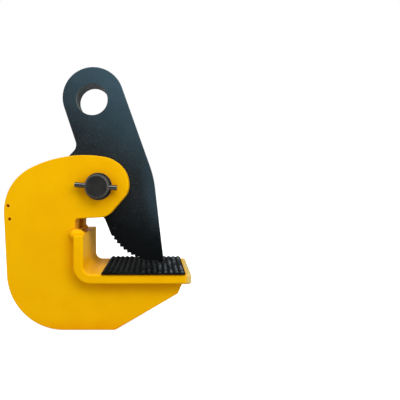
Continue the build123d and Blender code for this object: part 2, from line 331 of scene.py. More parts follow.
armLook = {
    "color": (0.013, 0.0165, 0.0195, 1.0),
    # the sheen and foot shade colours are painted light
    "sheenColor": (0.034, 0.066, 0.086, 1.0),
    "footShadeColor": (0.0012, 0.0019, 0.0024, 1.0),
    "speckColor": (0.046, 0.086, 0.106, 1.0),
    "edgeWearHighlightColor": (0.075, 0.1, 0.12, 1.0),
    "dustColor": (0.11, 0.115, 0.11, 1.0),
    "drift": 6.0 * mm,  # how far the mottle moves the borders below
    "footShadeSpan": (0.098, 0.150),  # the painted shade at the foot fades out between these, up in metres
    "footShadeLean": 0.5,  # with this much of the distance across added
    "upperSheen": (0.165, 0.245),  # and the painted sheen of the upper arm and eye comes in between these
    "upperSheenLean": 0.8,
    "edgeSheenSpan": (0.060, 0.073),  # so does a painted sheen band along the arm's outer edge
    "edgeSheenLean": 0.184,  # that edge leans this much, across per metre up
    "edgeSheenFoot": (0.065, 0.110),  # and the band fades out down to the foot
    "edgeSheenShare": 0.42,
    "specks": (0.12, 0.72),  # from the painted-shade foot to the rest of the arm
    "wearShare": 0.6,
    "scuffShare": 0.35,
    "boreColor": (0.12, 0.13, 0.125, 1.0),
    "boreReach": 15.7 * mm,
    "boreEdge": 0.6 * mm,
    "boreShare": (0.45, 0.9),
    "boreMetal": 0.4,
    "roughness": (0.40, 0.56),
    "dustRoughness": 0.2,
    "ior": 1.2,
    "cutDepth": 2.5,  # against the orange peel's
    "peelDepth": 0.05 * mm,
}


def armShadeAndSheen(tree, look, across, height, mottle):
    # painted shade and sheen: near black at the foot, plain in the middle, and a painted bluish sheen
    # towards the eye and along the outer edge
    drift = maths(tree, "MULTIPLY_ADD", mottle, look["drift"], height)
    litShare = ramp(tree, maths(tree, "MULTIPLY_ADD", across, look["footShadeLean"], drift), *look["footShadeSpan"])
    lifted = maths(tree, "MULTIPLY_ADD", across, look["upperSheenLean"], drift)
    upperSheen = ramp(tree, lifted, *look["upperSheen"], smooth=False)
    edgeSheen = ramp(tree, maths(tree, "MULTIPLY_ADD", height, look["edgeSheenLean"], across), *look["edgeSheenSpan"])
    edgeSheen = times(tree, edgeSheen, ramp(tree, height, *look["edgeSheenFoot"], 0.0, look["edgeSheenShare"]))
    color = mixColor(tree, maths(tree, "MAXIMUM", upperSheen, edgeSheen), look["color"], look["sheenColor"])
    return mixColor(tree, litShare, look["footShadeColor"], color), litShare


def boreRub(tree, look, across, height, mottle):
    # the shackle has rubbed the eye's bore
    inPlan = joinVector(tree, X=across, Z=height)
    fromEye = vectorMaths(tree, "DISTANCE", inPlan, (eyeHole.x, 0.0, eyeHole.z))["Value"]
    bore = ramp(tree, fromEye, look["boreReach"], look["boreReach"] - look["boreEdge"])
    return times(tree, bore, ramp(tree, mottle, 0.0, 1.0, *look["boreShare"]))


def makeArmEnamel():
    look = armLook
    material, tree, shader, coords = startMaterial("armEnamel")
    film = useEffect(tree, "paintFilm", coords, Peel_Scale=520.0, Mottle_Scale=55.0)
    wear = useEffect(tree, "edgeWear", coords, Reach=0.6 * mm, Patch_Size=110.0, Coverage=0.5)["Mask"]
    cuts = useEffect(tree, "cutLines", coords, Line_Scale=430.0)["Height"]
    dust = useEffect(tree, "dustFilm", coords, Amount=0.12, Drift_Scale=80.0)["Mask"]
    scuffs = useEffect(tree, "hairScuffs", coords, Scale=60.0, Coverage=0.2)["Mask"]
    across, _, height = splitVector(tree, coords)
    # painted shade at the foot and painted sheen above
    color, litShare = armShadeAndSheen(tree, look, across, height, film["Mottle"])
    specks = times(tree, film["Speckle"], mixFloat(tree, litShare, *look["specks"]))
    color = mixColor(tree, specks, color, look["speckColor"])
    color = mixColor(tree, times(tree, wear, look["wearShare"]), color, look["edgeWearHighlightColor"])
    color = mixColor(tree, dust, color, look["dustColor"])
    color = mixColor(tree, times(tree, scuffs, look["scuffShare"]), color, look["edgeWearHighlightColor"])
    bore = boreRub(tree, look, across, height, film["Mottle"])
    feed(tree, shader.inputs["Base Color"], mixColor(tree, bore, color, look["boreColor"]))
    feed(tree, shader.inputs["Metallic"], times(tree, bore, look["boreMetal"]))
    rough = ramp(tree, film["Mottle"], 0.0, 1.0, *look["roughness"])
    rough = maths(tree, "MULTIPLY_ADD", dust, look["dustRoughness"], rough)
    feed(tree, shader.inputs["Roughness"], rough)
    shader.inputs["IOR"].default_value = look["ior"]
    relief = maths(tree, "MULTIPLY_ADD", cuts, look["cutDepth"], film["Height"])
    addBump(tree, shader, relief, look["peelDepth"])
    return material


padLook = {
    "color": (0.0028, 0.0027, 0.0022, 1.0),
    # light colour for worn spots, also the painted highlight on the tooth tips
    "wearAndShineColor": (0.16, 0.20, 0.225, 1.0),
    "scaleColor": (0.009, 0.010, 0.0095, 1.0),
    "tipBand": 1.2 * mm,  # how far below the tooth tips the painted highlight reaches
    "tipGlint": (0.036, 0.062),  # painted highlight on the tooth tips grows from here towards the lit end, X in metres
    "tipGlintShare": (0.03, 1.0),
    "tipGlintScale": 150.0,
    "wearShare": 0.08,
    "wearAndShineMetal": 0.6,
    "roughness": (0.32, 0.5),
    "ior": 1.15,
    "specular": 0.1,
    "grainDepth": 0.12 * mm,
}


def makePadSteel():
    look = padLook
    material, tree, shader, coords = startMaterial("padSteel")
    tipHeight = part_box("jaw_pad")[1].z
    film = useEffect(tree, "paintFilm", coords, Peel_Scale=420.0, Mottle_Scale=85.0)
    wear = useEffect(tree, "edgeWear", coords, Reach=0.45 * mm, Patch_Size=160.0, Coverage=0.45)["Mask"]
    along, _, height = splitVector(tree, coords)
    # painted highlight: tooth tips towards the lit end turn light and metallic, in patches
    tips = ramp(tree, height, tipHeight - look["tipBand"], tipHeight)
    glintSide = ramp(tree, along, *look["tipGlint"], *look["tipGlintShare"])
    patches = ramp(tree, makeNoise(tree, coords, look["tipGlintScale"], 4.0, 0.65), 0.42, 0.62)
    tipGlint = times(tree, tips, times(tree, patches, glintSide))
    wearAndShine = maths(tree, "MAXIMUM", tipGlint, times(tree, wear, look["wearShare"]))
    color = mixColor(tree, film["Mottle"], look["color"], look["scaleColor"])
    feed(tree, shader.inputs["Base Color"], mixColor(tree, wearAndShine, color, look["wearAndShineColor"]))
    feed(tree, shader.inputs["Metallic"], times(tree, wearAndShine, look["wearAndShineMetal"]))
    shader.inputs["IOR"].default_value = look["ior"]
    shader.inputs["Specular IOR Level"].default_value = look["specular"]
    feed(tree, shader.inputs["Roughness"], ramp(tree, film["Mottle"], 0.0, 1.0, *look["roughness"]))
    addBump(tree, shader, film["Height"], look["grainDepth"])
    return material


pinLook = {
    "color": (0.016, 0.016, 0.0145, 1.0),
    "wearAndShineColor": (0.22, 0.22, 0.20, 1.0),
    "metallic": 0.1,
    "roughness": (0.36, 0.5),
    "ringScale": 260.0,
    "ringDepth": 0.02 * mm,
    "specular": 0.15,
    "chamferShine": 0.3,
}
crossPinLook = {
    "color": (0.09, 0.09, 0.085, 1.0),
    "wearAndShineColor": (0.35, 0.35, 0.33, 1.0),
    "metallic": 0.9,
    "roughness": (0.16, 0.24),
    "ringScale": 700.0,
    "ringDepth": 0.004 * mm,
    "specular": 0.5,
    "chamferShine": 0.0,
}
bushLook = {
    "color": (0.42, 0.25, 0.085, 1.0),
    "wearAndShineColor": (0.75, 0.52, 0.24, 1.0),
    "metallic": 1.0,
    "roughness": (0.28, 0.42),
    "ringScale": 320.0,
    "ringDepth": 0.015 * mm,
    "specular": 0.5,
    "chamferShine": 0.0,
}
turnedWear = {
    "scuffShare": 0.4,
    "mottleShare": 0.05,
    "filmRelief": 0.5,  # against the lathe rings'
    "polish": -0.12,  # added to the roughness where the metal is worn or carries the painted chamfer highlight
    "chamfer": (0.25, 0.5, 0.85, 0.95),  # how far endwise a chamfer faces, faded at both sides
}


def latheRings(tree, coords, scale):
    # rings run about the Y axis through the pivot
    centred = addNode(tree, "ShaderNodeMapping", {"Vector": coords, "Location": tuple(-pivot)}).outputs[0]
    values = {"Vector": centred, "Scale": scale, "Distortion": 0.6, "Detail": 2.0, "Detail Scale": 3.0}
    kinds = {"wave_type": "RINGS", "rings_direction": "Y"}
    return addNode(tree, "ShaderNodeTexWave", values, **kinds).outputs["Fac"]


def makeTurnedMetal(name, look):
    material, tree, shader, coords = startMaterial(name)
    film = useEffect(tree, "paintFilm", coords, Peel_Scale=900.0, Mottle_Scale=110.0)
    wear = useEffect(tree, "edgeWear", coords, Reach=0.4 * mm, Patch_Size=150.0, Coverage=0.55)["Mask"]
    scuffs = useEffect(tree, "hairScuffs", coords, Scale=120.0, Coverage=0.3)["Mask"]
    wearAndShine = maths(tree, "MAXIMUM", wear, times(tree, scuffs, turnedWear["scuffShare"]))
    # chamfers lean between the axis and the side; a lighter, more metallic colour on them is a painted
    # highlight
    endwise = maths(tree, "ABSOLUTE", splitVector(tree, surfaceNormal(tree))["Y"])
    low, lowFull, highFull, high = turnedWear["chamfer"]
    lean = times(tree, ramp(tree, endwise, low, lowFull), ramp(tree, endwise, high, highFull))
    wearAndShine = maths(tree, "MAXIMUM", wearAndShine, times(tree, lean, look["chamferShine"]))
    mottle = times(tree, film["Mottle"], turnedWear["mottleShare"])
    dull = mixColor(tree, mottle, look["color"], look["wearAndShineColor"])
    feed(tree, shader.inputs["Base Color"], mixColor(tree, wearAndShine, dull, look["wearAndShineColor"]))
    feed(tree, shader.inputs["Metallic"], maths(tree, "MAXIMUM", wearAndShine, look["metallic"]))
    shader.inputs["Specular IOR Level"].default_value = look["specular"]
    rough = ramp(tree, film["Mottle"], 0.0, 1.0, *look["roughness"])
    rough = maths(tree, "MULTIPLY_ADD", wearAndShine, turnedWear["polish"], rough)
    feed(tree, shader.inputs["Roughness"], rough)
    rings = latheRings(tree, coords, look["ringScale"])
    height = maths(tree, "MULTIPLY_ADD", film["Height"], turnedWear["filmRelief"], rings)
    addBump(tree, shader, height, look["ringDepth"])
    return material


finishes = {
    "yellow": makeYellowEnamel(),
    "arm": makeArmEnamel(),
    "pad": makePadSteel(),
    "pin": makeTurnedMetal("pinOxide", pinLook),
    "crossPin": makeTurnedMetal("springSteel", crossPinLook),
    "bush": makeTurnedMetal("turnedBronze", bushLook),
}
print("materials ready")


# pieces from the frame
def plainMesh(piece):
    # modifiers become the mesh
    bpy.context.view_layer.update()
    graph = bpy.context.evaluated_depsgraph_get()
    finished = piece.evaluated_get(graph)
    plain = bpy.data.meshes.new_from_object(finished, preserve_all_data_layers=True, depsgraph=graph)
    piece.modifiers.clear()
    piece.data = plain
    return plain


def newPiece(name, mesh):
    piece = bpy.data.objects.new(name, mesh)
    scene.collection.objects.link(piece)
    return piece


def settle(piece, finish, body, slotName, *nodes):
    piece.data.materials.clear()
    piece.data.materials.append(finish)
    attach(piece, body)
    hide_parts(*nodes)
    lowest = min(corner.co.z for corner in piece.data.vertices)
    print(piece.name, len(piece.data.polygons), "faces, lowest %.2f mm" % (lowest / mm))


skinCare = {
    "merge": 0.002 * mm,
    "flat": math.radians(0.3),  # faces that meet at less than this become one
    "shortest": 0.05 * mm,
}
easing = {"steps": 2, "angle": math.radians(40.0)}


def mergedCopy(node):
    # the node's loose triangles as one skin, flat areas as single faces
    bm = bmesh.new()
    bm.from_mesh(frame["nodes"][node].data)
    bmesh.ops.remove_doubles(bm, verts=bm.verts, dist=skinCare["merge"])
    bmesh.ops.dissolve_limit(bm, angle_limit=skinCare["flat"], verts=bm.verts, edges=bm.edges)
    bmesh.ops.dissolve_degenerate(bm, dist=skinCare["shortest"], edges=bm.edges)
    return bm


def roundEdges(piece, width):
    bevel = piece.modifiers.new("easedEdges", "BEVEL")
    bevel.width = width
    bevel.segments = easing["steps"]
    bevel.limit_method = "ANGLE"
    bevel.angle_limit = easing["angle"]
    bevel.use_clamp_overlap = True
    bevel.miter_outer = "MITER_ARC"
    weighted = piece.modifiers.new("flatFaces", "WEIGHTED_NORMAL")
    weighted.mode = "FACE_AREA"
    weighted.keep_sharp = True


def fromFrame(name, bm, edge):
    mesh = bpy.data.meshes.new(name)
    bm.to_mesh(mesh)
    bm.free()
    for spare in [a for a in mesh.attributes if a.name == "custom_normal"]:
        mesh.attributes.remove(spare)
    mesh.shade_smooth()
    piece = newPiece(name, mesh)
    roundEdges(piece, edge)
    plainMesh(piece)
    return piece


platePieces = {
    "frontCheek": {"node": "front_cheek", "edge": 0.3 * mm},
    "rearCheek": {"node": "rear_cheek", "edge": 0.3 * mm},
    "spineSpacer": {"node": "spine_spacer", "edge": 0.3 * mm},
    "jawBracket": {"node": "jaw_bracket", "edge": 0.35 * mm},
}
for name, plate in platePieces.items():
    piece = fromFrame(name, mergedCopy(plate["node"]), plate["edge"])
    settle(piece, finishes["yellow"], "frame", "yellow_paint", plate["node"])

armPiece = {"armEdge": 0.22 * mm, "bushEdge": 0.2 * mm}
arm = fromFrame("camArm", mergedCopy("cam_arm"), armPiece["armEdge"])
settle(arm, finishes["arm"], "arm", "arm_black", "cam_arm")
bush = fromFrame("armBush", mergedCopy("arm_bush"), armPiece["bushEdge"])
settle(bush, finishes["bush"], "arm", "bush_bronze", "arm_bush")

pinPiece = {
    "edge": 0.22 * mm,
    "crossEdge": 0.18 * mm,
    "centreRadius": 1.0 * mm,
    "centreDepth": 0.4 * mm,
}


def drillCentres(bm):
    # a lathe centre in each end face of the pin
    ends = sorted(bm.faces, key=lambda face: face.calc_center_median().y)
    for face, inward in ((ends[0], 1), (ends[-1], -1)):
        middle = face.calc_center_median()
        radius = max((corner.co - middle).length for corner in face.verts)
        bmesh.ops.inset_individual(bm, faces=[face], thickness=radius - pinPiece["centreRadius"])
        tip = bmesh.ops.poke(bm, faces=[face])["verts"][0]
        tip.co.y += inward * pinPiece["centreDepth"]


pinSkin = mergedCopy("pivot_pin")
drillCentres(pinSkin)
settle(fromFrame("pivotPin", pinSkin, pinPiece["edge"]), finishes["pin"], "pin", "pin_black", "pivot_pin")
crossPin = fromFrame("crossPin", mergedCopy("cross_pin"), pinPiece["crossEdge"])
settle(crossPin, finishes["crossPin"], "pin", "pin_black", "cross_pin")


# geometry node helpers
def runTree(name, mesh, tree, values):
    # a modifier's inputs go by identifier, labels are only for reading
    piece = newPiece(name, mesh)
    modifier = piece.modifiers.new("build", "NODES")
    modifier.node_group = tree
    for item in tree.interface.items_tree:
        if item.in_out == "INPUT" and item.name in values:
            modifier[item.identifier] = values[item.name]
    plainMesh(piece)
    return piece


def captureFloat(tree, geometry, label, value):
    node = addNode(tree, "GeometryNodeCaptureAttribute", domain="POINT")
    node.capture_items.new("FLOAT", label)
    feed(tree, node.inputs[0], geometry)
    feed(tree, node.inputs[1], value)
    return node.outputs[0], node.outputs[1]


def newTree(name, sizes, counts):
    # every tree takes a mesh, its sizes, its counts and a finish, and gives a mesh
    inputs = {
        "Geometry": "Geometry",
        **dict.fromkeys(sizes, "Float"),
        **dict.fromkeys(counts, "Int"),
        "Finish": "Material",
    }
    return newGroup(name, "GeometryNodeTree", inputs, {"Geometry": "Geometry"})


def shiftPoints(tree, geometry, offset, **selection):
    inputs = {"Geometry": geometry, "Offset": offset, **selection}
    return addNode(tree, "GeometryNodeSetPosition", inputs).outputs[0]


def closeTree(tree, geometry, material, target):
    # every tree ends the same way
    smooth = addNode(tree, "GeometryNodeSetShadeSmooth", {"Geometry": geometry}).outputs[0]
    real = addNode(tree, "GeometryNodeRealizeInstances", {"Geometry": smooth}).outputs[0]
    painted = addNode(tree, "GeometryNodeSetMaterial", {"Geometry": real, "Material": material}).outputs[0]
    feed(tree, target["Geometry"], painted)


def pathMesh(name, paths):
    # each path is a list of points, joined by edges
    mesh = bpy.data.meshes.new(name)
    points, edges = [], []
    for path in paths:
        start = len(points)
        points.extend(path)
        edges.extend((start + i, start + i + 1) for i in range(len(path) - 1))
    mesh.from_pydata(points, edges, [])
    return mesh


# jaw pad
padPiece = {
    "teeth": 15,
    "columns": 12,  # faces across one tooth
    "rows": 44,
    "height": 2.6 * mm,
    "depth": 1.7 * mm,
    "crest": 0.1,  # share of the tooth that is flat on top
    "corner": 1.6 * mm,
    "clearance": 0.02 * mm,  # the pad is that much smaller than its box all round
    "endDrop": 0.5 * mm,  # how high a tooth stands at the pad's edge
    "wear": 0.3 * mm,
    "wander": 0.35 * mm,
    "slowScale": 90.0,  # of the noise that bends the teeth and wears whole stretches
    "fastScale": 420.0,  # of the noise that chips single crests
    "studRadius": 5.0 * mm,
    "studSpacing": 50.0 * mm,
    "studSink": 0.5 * mm,  # how far a stud reaches up into the pad
    "studSides": 40,
    "seed": 7.0,
}


def overhang(tree, value, half, corner):
    # how far a point lies inside the corner's square
    beyond = minus(tree, maths(tree, "ABSOLUTE", value), minus(tree, half, corner))
    return maths(tree, "MAXIMUM", beyond, 0.0)


def roundPlan(tree, grid, x, y, halfLength, halfWidth, corner):
    # plan corners pulled in from a square to a round
    overX = overhang(tree, x, halfLength, corner)
    overY = overhang(tree, y, halfWidth, corner)
    reach = maths(tree, "MAXIMUM", hypotenuse(tree, overX, overY), 1e-6)
    pull = minus(tree, over(tree, maths(tree, "MAXIMUM", overX, overY), reach), 1.0)
    pullX = times(tree, times(tree, overX, pull), maths(tree, "SIGN", x))
    pullY = times(tree, times(tree, overY, pull), maths(tree, "SIGN", y))
    return shiftPoints(tree, grid, joinVector(tree, X=pullX, Y=pullY))


def toothHeight(tree, source, place, halfLength, halfWidth):
    # from where a point lies along the pitch, with worn crests and lines that wander a little
    x, y, _ = splitVector(tree, place)
    seed = joinVector(tree, Z=source["Seed"])
    spot = vectorMaths(tree, "MULTIPLY_ADD", place, (1.0, 1.0, 0.0), seed)[0]
    slow = makeNoise(tree, spot, padPiece["slowScale"], 2.0, 0.5)
    fast = makeNoise(tree, spot, padPiece["fastScale"], 3.0, 0.6)
    pitch = over(tree, source["Length"], source["Teeth"])
    inside = ramp(tree, minus(tree, halfLength, maths(tree, "ABSOLUTE", x)), 0.0, pitch)
    wander = times(tree, times(tree, minus(tree, slow, 0.5), source["Wander"]), inside)
    along = plus(tree, plus(tree, x, halfLength), times(tree, wander, 2.0))
    phase = maths(tree, "FRACT", over(tree, along, pitch))
    fromCrest = maths(tree, "ABSOLUTE", maths(tree, "MULTIPLY_ADD", phase, 2.0, -1.0))
    crest = minus(tree, 1.0, source["Crest"])
    cut = over(tree, maths(tree, "SMOOTH_MIN", minus(tree, 1.0, fromCrest), crest, 0.12), crest)
    worn = plus(tree, ramp(tree, fast, 0.4, 0.8), ramp(tree, slow, 0.55, 0.8))
    worn = times(tree, source["Wear"], worn)
    tooth = times(tree, cut, minus(tree, source["Depth"], worn))
    toEdge = minus(tree, halfWidth, maths(tree, "ABSOLUTE", y))
    tooth = maths(tree, "MINIMUM", tooth, plus(tree, toEdge, source["End Drop"]))
    return maths(tree, "MAXIMUM", tooth, 0.0)


def makePadTree():
    slab = ("Length", "Width", "Thickness", "Corner")
    teeth = ("Depth", "Crest", "End Drop", "Wear", "Wander", "Seed")
    tree, source, target = newTree("toothedPad", slab + teeth, ("Teeth", "Columns", "Rows"))
    grid = addNode(
        tree,
        "GeometryNodeMeshGrid",
        {
            "Size X": source["Length"],
            "Size Y": source["Width"],
            "Vertices X": maths(tree, "MULTIPLY_ADD", source["Teeth"], source["Columns"], 1.0),
            "Vertices Y": plus(tree, source["Rows"], 1.0),
        },
    ).outputs["Mesh"]
    place = addNode(tree, "GeometryNodeInputPosition").outputs[0]
    x, y, _ = splitVector(tree, place)
    halfLength = times(tree, source["Length"], 0.5)
    halfWidth = times(tree, source["Width"], 0.5)
    plan = roundPlan(tree, grid, x, y, halfLength, halfWidth, source["Corner"])

    # the plan is raised to a slab and its open underside closed with a turned copy
    lift = joinVector(tree, Z=minus(tree, source["Thickness"], source["Depth"]))
    raising = {"Mesh": plan, "Offset": lift, "Individual": False}
    raised = addNode(tree, "GeometryNodeExtrudeMesh", raising, mode="FACES").outputs
    under = addNode(tree, "GeometryNodeFlipFaces", {"Mesh": plan}).outputs[0]
    rise = joinVector(tree, Z=toothHeight(tree, source, place, halfLength, halfWidth))
    toothed = shiftPoints(tree, raised["Mesh"], rise, Selection=raised["Top"])
    joined = addNode(tree, "GeometryNodeJoinGeometry")
    feed(tree, joined.inputs[0], toothed)
    feed(tree, joined.inputs[0], under)
    skin = {"Geometry": joined.outputs[0], "Distance": 0.01 * mm}
    merged = addNode(tree, "GeometryNodeMergeByDistance", skin).outputs[0]
    closeTree(tree, merged, source["Finish"], target)
    return tree


def addStuds(mesh, middle, top, bottom):
    # the pad's two studs run down through the bracket
    bm = bmesh.new()
    bm.from_mesh(mesh)
    radius = padPiece["studRadius"]
    shape = {"segments": padPiece["studSides"], "radius1": radius, "radius2": radius, "depth": top - bottom}
    for side in (-0.5, 0.5):
        stud = bmesh.ops.create_cone(bm, cap_ends=True, **shape)["verts"]
        place = Vector((middle + side * padPiece["studSpacing"], 0.0, (top + bottom) / 2))
        bmesh.ops.translate(bm, verts=stud, vec=place)
    bm.to_mesh(mesh)
    bm.free()


padLow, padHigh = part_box("jaw_pad")
bracketLow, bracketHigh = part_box("jaw_bracket")
bracketFace = padHigh.z - padPiece["height"]
padSizes = {
    "Length": padHigh.x - padLow.x - 2 * padPiece["clearance"],
    "Width": padHigh.y - padLow.y - 2 * padPiece["clearance"],
    "Thickness": padPiece["height"],
    "Teeth": padPiece["teeth"],
    "Columns": padPiece["columns"],
    "Rows": padPiece["rows"],
    "Depth": padPiece["depth"],
    "Crest": padPiece["crest"],
    "Corner": padPiece["corner"],
    "End Drop": padPiece["endDrop"],
    "Wear": padPiece["wear"],
    "Wander": padPiece["wander"],
    "Seed": padPiece["seed"],
    "Finish": finishes["pad"],
}
pad = runTree("jawPad", bpy.data.meshes.new("jawPad"), makePadTree(), padSizes)
padMiddle = (padLow.x + padHigh.x) / 2
pad.data.transform(Matrix.Translation((padMiddle, 0.0, bracketFace)))
addStuds(pad.data, padMiddle, bracketFace + padPiece["studSink"], padLow.z)
settle(pad, finishes["pad"], "frame", "pad_steel", "jaw_pad")


# welds
handLaid = {
    "unevenScale": 160.0,
    "endLength": 1.5,  # over this many radii a bead thins
    "endWidth": 0.45,  # to this share of its radius
    "stepsPerRipple": 5.0,
}


def beadSwell(tree, source, fromStart):
    # a hand-laid bead thins at its ends and is uneven between them
    whole = addNode(tree, "GeometryNodeSplineLength").outputs["Length"]
    toEnd = maths(tree, "MINIMUM", fromStart, minus(tree, whole, fromStart))
    thinning = times(tree, source["Radius"], handLaid["endLength"])
    taper = ramp(tree, toEnd, 0.0, thinning, handLaid["endWidth"], 1.0)
    place = addNode(tree, "GeometryNodeInputPosition").outputs[0]
    spot = vectorMaths(tree, "ADD", place, source["Seed"])[0]
    uneven = minus(tree, makeNoise(tree, spot, handLaid["unevenScale"], 2.0, 0.5), 0.5)
    uneven = times(tree, uneven, source["Wobble"])
    return times(tree, taper, maths(tree, "MULTIPLY_ADD", uneven, 2.0, 1.0))


def beadRipples(tree, source, along, around):
    # arcs left by each puddle, bowed towards the end the weld ran to
    bow = times(tree, maths(tree, "COSINE", times(tree, around, 2 * math.pi)), source["Bow"])
    phase = plus(tree, over(tree, along, source["Ripple Pitch"]), bow)
    crest = maths(tree, "ABSOLUTE", maths(tree, "SINE", times(tree, phase, math.pi)))
    return times(tree, minus(tree, crest, 1.0), source["Ripple Depth"])


def makeBeadTree():
    sizes = ("Radius", "Ripple Pitch", "Ripple Depth", "Bow", "Wobble", "Seed")
    tree, source, target = newTree("weldBead", sizes, ("Sides",))
    line = addNode(tree, "GeometryNodeMeshToCurve", {"Mesh": source["Geometry"]}).outputs[0]
    spacing = {"Curve": line, "Length": over(tree, source["Ripple Pitch"], handLaid["stepsPerRipple"])}
    line = addNode(tree, "GeometryNodeResampleCurve", spacing, mode="LENGTH").outputs[0]
    fromStart = addNode(tree, "GeometryNodeSplineParameter").outputs["Length"]
    thickness = {"Curve": line, "Radius": beadSwell(tree, source, fromStart)}
    line = addNode(tree, "GeometryNodeSetCurveRadius", thickness).outputs[0]
    line, along = captureFloat(tree, line, "along", fromStart)
    section = {"Resolution": source["Sides"], "Radius": source["Radius"]}
    ring = addNode(tree, "GeometryNodeCurvePrimitiveCircle", section).outputs["Curve"]
    around = addNode(tree, "GeometryNodeSplineParameter").outputs["Factor"]
    ring, around = captureFloat(tree, ring, "around", around)
    sweep = {"Curve": line, "Profile Curve": ring, "Fill Caps": True}
    bead = addNode(tree, "GeometryNodeCurveToMesh", sweep).outputs[0]
    outward = addNode(tree, "GeometryNodeInputNormal").outputs[0]
    dip = addNode(tree, "ShaderNodeVectorMath", operation="SCALE")
    feed(tree, dip.inputs[0], outward)
    feed(tree, dip.inputs["Scale"], beadRipples(tree, source, along, around))
    closeTree(tree, shiftPoints(tree, bead, dip.outputs[0]), source["Finish"], target)
    return tree


def runBead(name, paths, look):
    values = {
        "Radius": look["radius"],
        "Sides": look["sides"],
        "Ripple Pitch": look["pitch"],
        "Ripple Depth": look["depth"],
        "Bow": look["bow"],
        "Wobble": look["wobble"],
        "Seed": look["seed"],
        "Finish": finishes["yellow"],
    }
    return runTree(name, pathMesh(name, paths), beadTree, values)


beadTree = makeBeadTree()
cheekLow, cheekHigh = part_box("front_cheek")
cheekInside = abs(cheekHigh.y)

spineBead = {
    "radius": 1.95 * mm,
    "inset": 0.75 * mm,
    "pitch": 2.3 * mm,
    "depth": 0.32 * mm,
    "bow": 0.35,
    "wobble": 0.22,
    "sides": 12,
    "seed": 3.0,
    "skin": 0.1 * mm,  # how far from the innermost point a point still counts as on the spacer
    "turning": (20.0 * mm, 80.0 * mm),  # the weld runs round this place, X and Z
}


def spinePaths():
    # the weld's edge on the spacer, read off the frame and put in order round the spine
    points = [v.co.copy() for v in frame["nodes"]["spine_welds"].data.vertices]
    reach = min(abs(p.y) for p in points) + spineBead["skin"]
    middleX, middleZ = spineBead["turning"]
    line = {}
    for p in points:
        if abs(p.y) < reach:
            bearing = math.atan2(p.z - middleZ, p.x - middleX) % (2 * math.pi)
            line[round(bearing, 3)] = (p.x, p.z)
    ordered = [line[key] for key in sorted(line)]
    level = cheekInside - spineBead["inset"]
    return [[(x, side * level, z) for x, z in ordered] for side in (-1, 1)]


spine = runBead("spineWelds", spinePaths(), spineBead)
settle(spine, finishes["yellow"], "frame", "yellow_paint", "spine_welds")

bracketBead = {
    "radius": 2.7 * mm,
    "inset": 1.0 * mm,
    "pitch": 2.6 * mm,
    "depth": 0.4 * mm,
    "bow": 0.35,
    "wobble": 0.25,
    "sides": 14,
    "seed": 11.0,
}


def bracketPaths():
    # one straight run under the bracket along each cheek
    low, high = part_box("bracket_welds")
    ends = (low.x + bracketBead["radius"], high.x - bracketBead["radius"])
    level = cheekInside - bracketBead["inset"]
    height = high.z - bracketBead["inset"]
    return [[(x, side * level, height) for x in ends] for side in (-1, 1)]


under = runBead("bracketWelds", bracketPaths(), bracketBead)
settle(under, finishes["yellow"], "frame", "yellow_paint", "bracket_welds")

throatBead = {
    "radius": 2.4 * mm,
    "pitch": 3.2 * mm,
    "depth": 0.35 * mm,
    "bow": 0.3,
    "wobble": 0.2,
    "sides": 16,
    "seed": 5.0,
    "backset": 0.5 * mm,  # centre line behind the throat's face
    "rise": 1.0 * mm,  # and above the bracket's end
    "voxel": 0.38 * mm,
    "easing": 0.5,
    "rounds": 10,
}
cornerCap = {
    "size": (7.2 * mm, 5.6 * mm, 5.4 * mm),  # half lengths
    "offset": (2.0 * mm, -0.2 * mm, -0.6 * mm),  # from where bracket, throat and cheek meet
    "tilt": math.radians(8.0),
    "fineness": 4,
}


def throatPaths():
    # one pass across the throat between the cheeks' faces
    face = -cheekLow.y - throatBead["radius"] / 2
    x, z = bracketLow.x - throatBead["backset"], bracketHigh.z + throatBead["rise"]
    return [[(x, -face, z), (x, face, z)]]


def addCornerCap(mesh):
    # a short heavy pass that caps the bracket's front corner
    corner = Vector((bracketLow.x, cheekLow.y, bracketHigh.z)) + Vector(cornerCap["offset"])
    shape = Matrix.Rotation(cornerCap["tilt"], 4, "Y") @ Matrix.Diagonal((*cornerCap["size"], 1.0))
    shape = Matrix.Translation(corner) @ shape
    bm = bmesh.new()
    bm.from_mesh(mesh)
    bmesh.ops.create_icosphere(bm, subdivisions=cornerCap["fineness"], radius=1.0, matrix=shape)
    bm.to_mesh(mesh)
    bm.free()


def meltTogether(piece):
    # bead and cap become one skin with soft creases
    blend = piece.modifiers.new("oneSkin", "REMESH")
    blend.mode = "VOXEL"
    blend.voxel_size = throatBead["voxel"]
    ease = piece.modifiers.new("ease", "SMOOTH")
    ease.factor = throatBead["easing"]
    ease.iterations = throatBead["rounds"]
    plainMesh(piece).shade_smooth()


throat = runBead("throatWeld", throatPaths(), throatBead)
addCornerCap(throat.data)
meltTogether(throat)
settle(throat, finishes["yellow"], "frame", "yellow_paint", "throat_weld")

plugPiece = {
    "count": 2,
    "radius": 5.25 * mm,
    "height": 1.02 * mm,
    "ripple": 1.5 * mm,
    "depth": 0.12 * mm,
    "seed": 4,
    "middle": 1.15 * mm,  # above the lowest point of the CAD's plug
    "segments": 40,
    "rings": 22,
}


